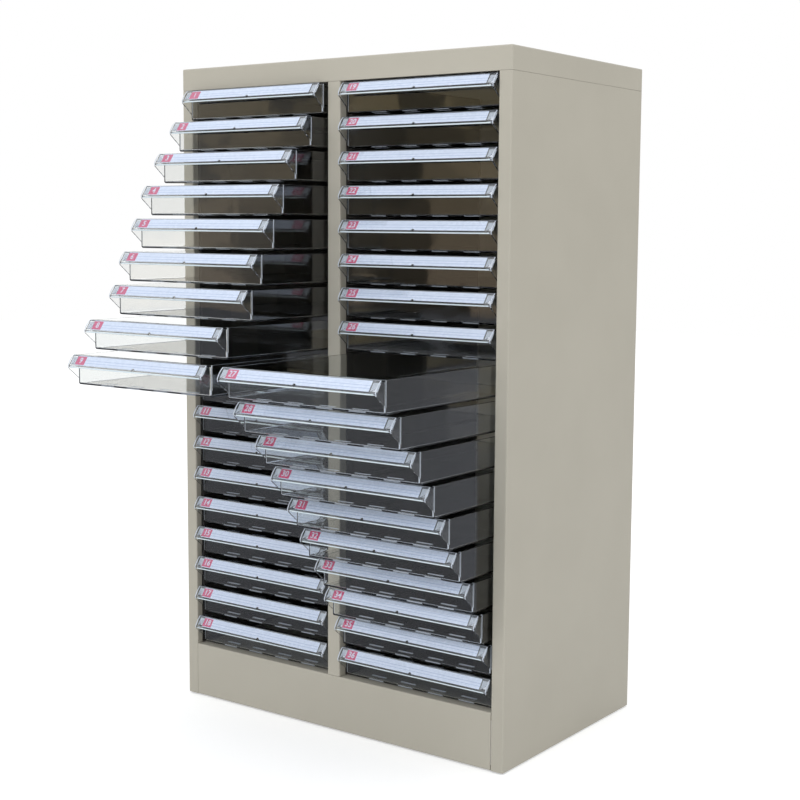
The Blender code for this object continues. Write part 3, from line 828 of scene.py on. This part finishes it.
def card_mesh(number, materials):
    """A label card with its index mark and number, on the slope of the plate."""
    sizes = sizes_of("label")
    width = sizes.recess_width - 2 * sizes.fit
    height = sizes.recess_height - 2 * sizes.fit
    base = sizes.fit / 4 - sizes.recess_depth
    face = base + sizes.card
    mark_middle = -width / 2 + sizes.mark_width / 2
    work = slab(width, height, base, face, sizes.notch)
    uv = work.loops.layers.uv.new("card")
    for polygon in work.faces:
        for loop in polygon.loops:
            loop[uv].uv = (loop.vert.co.x / width + 0.5, loop.vert.co.y / height + 0.5)
    mark = slab(sizes.mark_width, sizes.mark_height, face, face + sizes.ink)
    bmesh.ops.translate(mark, vec=(mark_middle, 0.0, 0.0), verts=mark.verts)
    for layer, part in ((1, mark), (2, number_bmesh(number, mark_middle, face + sizes.ink))):
        for polygon in part.faces:
            polygon.material_index = layer
        extra = plain_mesh("print", part)
        work.from_mesh(extra)
        bpy.data.meshes.remove(extra)
    bmesh.ops.transform(work, matrix=label_plane(), verts=work.verts)
    mesh = plain_mesh("label_card", work)
    for material in materials:
        mesh.materials.append(material)
    return mesh


def number_bmesh(number, middle, level):
    """Plain digits as thin ink, centred on the index mark."""
    sizes = sizes_of("label")
    text = bpy.data.curves.new("number", "FONT")
    text.body = str(number)
    text.size = sizes.digit_size
    text.align_x = text.align_y = "CENTER"
    text.extrude = sizes.ink / 2
    text.offset = sizes.digit_weight
    text.resolution_u = 3
    thing = new_object("number", text)
    mesh = evaluated(thing)
    discard(thing)
    work = bmesh.new()
    work.from_mesh(mesh)
    bpy.data.meshes.remove(mesh)
    bmesh.ops.remove_doubles(work, verts=work.verts, dist=MERGE_DISTANCE)
    bmesh.ops.translate(work, vec=(middle, 0.0, level + sizes.ink / 2), verts=work.verts)
    return work


def cover_template(strip):
    """The clear strip over the card, level with the plate."""
    sizes = sizes_of("label")
    width = sizes.recess_width - sizes.fit
    height = sizes.recess_height - sizes.fit
    work = slab(width, height, -sizes.cover, 0.0, sizes.notch)
    bevel_rims(work, 2, sizes.cover / 4)
    return smooth_mesh(object_from("label_cover", work, label_plane(), (strip,)))


def bead_template(material):
    """The white bead on the lip, half round, with closed ends: a painted highlight."""
    sizes = sizes_of("bead")
    half = sizes.height / 2
    turns = [math.radians(angle) for angle in range(150, 29, -20)]
    bulge = [(half * math.cos(turn), sizes.seat + sizes.bulge * math.sin(turn)) for turn in turns]
    outline = [(-half, 0.0), (-half, sizes.seat), *bulge, (half, sizes.seat), (half, 0.0)]
    work = prism(outline, -sizes.length / 2, sizes.length / 2)
    lift = Matrix.Translation((0.0, 0.0, sizes.gap))
    return smooth_mesh(object_from("bead", work, plate_plane(2, -sizes.drop) @ lift, (material,)))


def dress(starts, material):
    """Give the CAD nodes whose names start in a given way another material."""
    for name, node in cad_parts.items():
        if name.startswith(starts):
            node.data.materials.clear()
            node.data.materials.append(material)


class CABINET_OT_casing(Operator):
    """Paint the folded sheets of the casing"""
    bl_idname = "cabinet.casing"
    bl_label = "Casing"

    def execute(self, context):
        dress(PAINTED_SHEETS, powder_coated_steel())
        return {"FINISHED"}


class CABINET_OT_racks(Operator):
    """Paint the runner racks dark, as painted shade for the inside of the cabinet"""
    bl_idname = "cabinet.racks"
    bl_label = "Racks"

    def execute(self, context):
        dress("rack", enamelled_rack_steel())
        return {"FINISHED"}


class CABINET_OT_glides(Operator):
    """Finish the glides under the casing"""
    bl_idname = "cabinet.glides"
    bl_label = "Glides"

    def execute(self, context):
        dress("glide", moulded_nylon())
        return {"FINISHED"}


class CABINET_OT_rivets(Operator):
    """Set the rivets that hold the back panel to the deck's rear flange"""
    bl_idname = "cabinet.rivets"
    bl_label = "Rivets"

    def execute(self, context):
        sizes = sizes_of("rivets")
        deck_low, deck_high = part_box("base_deck")
        panel_low, panel_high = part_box("back_panel")
        rivets = rivet_head()
        pitch = (panel_high.x - panel_low.x) / sizes.count
        run_tree(rivets, rivet_tree(), {
            "Count": sizes.count, "Pitch": pitch, "Place": panel_high.y,
            "Material": zinc_plated_rivet()})
        rivets.data.transform(Matrix.Translation((0.0, 0.0, (deck_low.z + deck_high.z) / 2)))
        smooth(rivets)
        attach(rivets, "casing")
        return {"FINISHED"}


class CABINET_OT_mouldings(Operator):
    """Make the clear drawers"""
    bl_idname = "cabinet.mouldings"
    bl_label = "Mouldings"

    def execute(self, context):
        template = moulding_template(moulded_polystyrene(), ground_polystyrene())
        for body in DRAWERS:
            piece = copy_of(template, "moulding", body)
            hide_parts(body)
        return {"FINISHED"}


class CABINET_OT_labels(Operator):
    """Make the label cards with their index marks and numbers"""
    bl_idname = "cabinet.labels"
    bl_label = "Label cards"

    def execute(self, context):
        sizes = sizes_of("label")
        inks = (label_paper(), printing_ink("red_ink", sizes.mark, linear("EA5F82")),
                printing_ink("white_ink", linear("F6F3F4"), linear("F0EAEC")))
        for number, body in enumerate(DRAWERS, 1):
            copy_of(card_mesh(number, inks), "label_card", body)
        return {"FINISHED"}


class CABINET_OT_covers(Operator):
    """Make the clear strips over the label cards"""
    bl_idname = "cabinet.covers"
    bl_label = "Label covers"

    def execute(self, context):
        template = cover_template(extruded_pvc())
        for body in DRAWERS:
            copy_of(template, "label_cover", body)
        return {"FINISHED"}


class CABINET_OT_beads(Operator):
    """Make the white beads on the lips, a painted highlight of their bright line"""
    bl_idname = "cabinet.beads"
    bl_label = "Edging beads"

    def execute(self, context):
        template = bead_template(soft_white_pvc())
        for body in DRAWERS:
            copy_of(template, "edging_bead", body)
        return {"FINISHED"}


def sky(tree, height, stops):
    """A colour ramp over the height of a direction, from straight down at 0 to straight up at 1."""
    ramp = add(tree, "ShaderNodeValToRGB", {"Fac": height})
    elements = ramp.color_ramp.elements
    elements[0].position, elements[1].position = stops[0][0], stops[-1][0]
    for position, _ in stops[1:-1]:
        elements.new(position)
    for element, (_, hex_colour) in zip(elements, stops):
        element.color = opaque(linear(hex_colour))
    return ramp


def layered(tree, colour, layers):
    """A colour with others laid over it, each by its own share."""
    for share, other in layers:
        colour = add(tree, "ShaderNodeMix", {0: share, 6: colour, 7: other},
                     data_type="RGBA").outputs[2]
    return colour


def mirrored_share(tree, path):
    """1 for a ray that was mirrored on its way, at a face or in a clear wall, else 0."""
    return add(tree, "ShaderNodeMath", {0: path.outputs["Glossy Depth"], 1: 1.0},
               operation="MINIMUM")


def make_world(scene):
    """A white background, and a soft room of light that is cool above and warmer at its sides.

    Mirrored rays see a dimmer room with warm panels in patches on the left, a pale wall behind
    and a glow farther left.
    """
    world = bpy.data.worlds.new("studio")
    scene.world = world
    world.use_nodes = True
    tree = world.node_tree
    tree.nodes.clear()
    way = add(tree, "ShaderNodeTexCoord").outputs["Generated"]
    parts = add(tree, "ShaderNodeSeparateXYZ", {0: way}).outputs
    height = add(tree, "ShaderNodeMapRange", {
        "Value": parts["Z"], "From Min": -1.0, "From Max": 1.0})
    room, open_sky, panels, through = (sky(tree, height, stops) for stops in (
        ((0.45, "E6E2DA"), (0.60, "EAE9E6"), (0.80, "F8FAFF"), (1.0, "FDFEFF")),
        ((0.45, "5E574C"), (0.60, "7B7668"), (0.74, "DDE3EC"), (0.85, "FFFFFF")),
        ((0.47, "F4DCC0"), (0.54, "D8C69C"), (0.70, "D4DAE4"), (0.85, "FFFFFF")),
        ((0.60, "FFFFFF"), (0.66, "6A7896"), (0.85, "93A2C2"), (0.93, "FFFFFF"))))
    stand = add(tree, "ShaderNodeMapping", {0: way, "Scale": (1.0, 1.0, 1.4)})
    patches = add(tree, "ShaderNodeTexVoronoi", {"Vector": stand, "Scale": 19.0},
                  distance="CHEBYCHEV")
    shade = add(tree, "ShaderNodeSeparateXYZ", {0: patches.outputs["Color"]})
    towards = add(tree, "ShaderNodeVectorMath", {0: way, 1: PALE_WALL}, operation="DOT_PRODUCT")
    warm, left, pale, glow = (
        add(tree, "ShaderNodeMapRange", {
            "Value": value, "From Min": low, "From Max": high, "To Max": top})
        for value, low, high, top in (
            (shade.outputs["X"], 0.3, 0.8, 1.0), (parts["X"], 0.1, -0.3, 1.0),
            (towards.outputs["Value"], 0.5, 0.8, 1.0), (parts["X"], -0.6, -0.8, 0.8)))
    warm_left = add(tree, "ShaderNodeMath", {0: warm, 1: left}, operation="MULTIPLY")
    light_share = add(tree, "ShaderNodeMath", {0: pale, 1: glow}, operation="MAXIMUM")
    mirrored = layered(tree, open_sky, ((warm_left, panels), (light_share, room)))
    path = add(tree, "ShaderNodeLightPath")
    shown = layered(tree, room, (
        (path.outputs["Is Transmission Ray"], through), (mirrored_share(tree, path), mirrored),
        (path.outputs["Is Camera Ray"], (1.0, 1.0, 1.0, 1.0))))
    light = add(tree, "ShaderNodeBackground", {"Color": shown})
    add(tree, "ShaderNodeOutputWorld", {"Surface": light})


def floor_paper():
    """Pale studio paper: matt, white where it is seen unshaded, with the object's shadow.

    Mirrored in the clear walls it is dim, as the ground is in the photograph.
    """
    look = sizes_of("stage")
    material, tree, place = new_material("floor_paper")
    sheet = mottled(tree, place, 0.6, look.floor_colour, linear("E3E3E2"))
    matt = add(tree, "ShaderNodeBsdfDiffuse", {"Color": sheet})
    white = add(tree, "ShaderNodeEmission", {"Color": (1.0, 1.0, 1.0, 1.0), "Strength": 0.42})
    lifted = add(tree, "ShaderNodeAddShader", {0: matt, 1: white})
    dim = add(tree, "ShaderNodeBsdfDiffuse", {"Color": opaque(look.floor_mirrored)})
    path = add(tree, "ShaderNodeLightPath")
    seen = add(tree, "ShaderNodeMath", {
        0: path.outputs["Is Camera Ray"], 1: path.outputs["Is Transmission Ray"]},
               operation="MAXIMUM")
    shown = add(tree, "ShaderNodeMixShader", {0: seen, 1: matt, 2: lifted})
    blend = add(tree, "ShaderNodeMixShader", {0: mirrored_share(tree, path), 1: shown, 2: dim})
    return surfaced(material, blend)


def make_floor(look):
    """The floor as one wide sheet."""
    work = bmesh.new()
    bmesh.ops.create_grid(work, x_segments=8, y_segments=8, size=look.floor_width / 2)
    mesh = plain_mesh("floor", work)
    new_object("floor", mesh, (floor_paper(),))


def make_lamp(name, place, width, height, power, colour):
    """A soft rectangular lamp that looks at the middle of the cabinet."""
    light = bpy.data.lights.new(name, "AREA")
    light.shape = "RECTANGLE"
    light.size, light.size_y = width, height
    light.energy = power
    light.color = colour
    lamp = new_object(name, light)
    lamp.location = place
    lamp.rotation_euler = (MIDDLE - Vector(place)).to_track_quat("-Z", "Y").to_euler()


def make_camera(scene, look):
    """The camera at the photograph's viewing angle."""
    lens = bpy.data.cameras.new("camera")
    lens.lens = look.focal_length
    lens.sensor_width = 36.0
    lens.shift_x, lens.shift_y = -0.025, -0.0125
    camera = new_object("camera", lens)
    camera.location = (1.20288, -1.52585, 0.67749)
    camera.rotation_euler = [math.radians(angle) for angle in (83.5606, -0.4143, 35.7832)]
    scene.camera = camera


class CABINET_OT_stage(Operator):
    """Set the floor, the light and the camera"""
    bl_idname = "cabinet.stage"
    bl_label = "Stage"

    def execute(self, context):
        scene = context.scene
        look = sizes_of("stage")
        make_world(scene)
        make_floor(look)
        make_lamp("fill", (3.0, -0.1, 1.7), 1.6, 1.6, look.fill_power, linear("F6F9FF"))
        make_lamp("key", (-0.4, -5.0, 4.2), 4.0, 2.4, look.key_power, linear("F4F8FF"))
        make_camera(scene, look)
        scene.view_settings.view_transform = "Standard"
        return {"FINISHED"}


OPERATORS = (CABINET_OT_casing, CABINET_OT_racks, CABINET_OT_glides, CABINET_OT_rivets,
             CABINET_OT_mouldings, CABINET_OT_labels, CABINET_OT_covers, CABINET_OT_beads,
             CABINET_OT_stage)
GROUPS = {"cabinet_casing": CasingLook, "cabinet_rivets": RivetSizes,
          "cabinet_moulding": MouldingSizes, "cabinet_label": LabelSizes,
          "cabinet_bead": BeadSizes, "cabinet_stage": StageLook}


class CABINET_PT_sidebar(Panel):
    """Buttons that build the cabinet's looks"""
    bl_label = "Document drawer cabinet"
    bl_space_type = "VIEW_3D"
    bl_region_type = "UI"
    bl_category = "Cabinet"

    def draw(self, context):
        for operator in OPERATORS:
            self.layout.operator(operator.bl_idname)
        for name, group in GROUPS.items():
            box = self.layout.box()
            for field in group.__annotations__:
                box.prop(getattr(context.scene, name), field)


CLASSES = (*GROUPS.values(), *OPERATORS, CABINET_PT_sidebar)


def register():
    """Register every class and the scene's properties."""
    for item in CLASSES:
        bpy.utils.register_class(item)
    for name, group in GROUPS.items():
        setattr(bpy.types.Scene, name, PointerProperty(type=group))


def unregister():
    """Undo register."""
    for name in GROUPS:
        delattr(bpy.types.Scene, name)
    for item in reversed(CLASSES):
        bpy.utils.unregister_class(item)


def main():
    """Build every piece."""
    register()
    bpy.ops.cabinet.casing()
    bpy.ops.cabinet.racks()
    bpy.ops.cabinet.glides()
    bpy.ops.cabinet.rivets()
    bpy.ops.cabinet.mouldings()
    bpy.ops.cabinet.labels()
    bpy.ops.cabinet.covers()
    bpy.ops.cabinet.beads()
    bpy.ops.cabinet.stage()


if __name__ == "__main__":
    main()
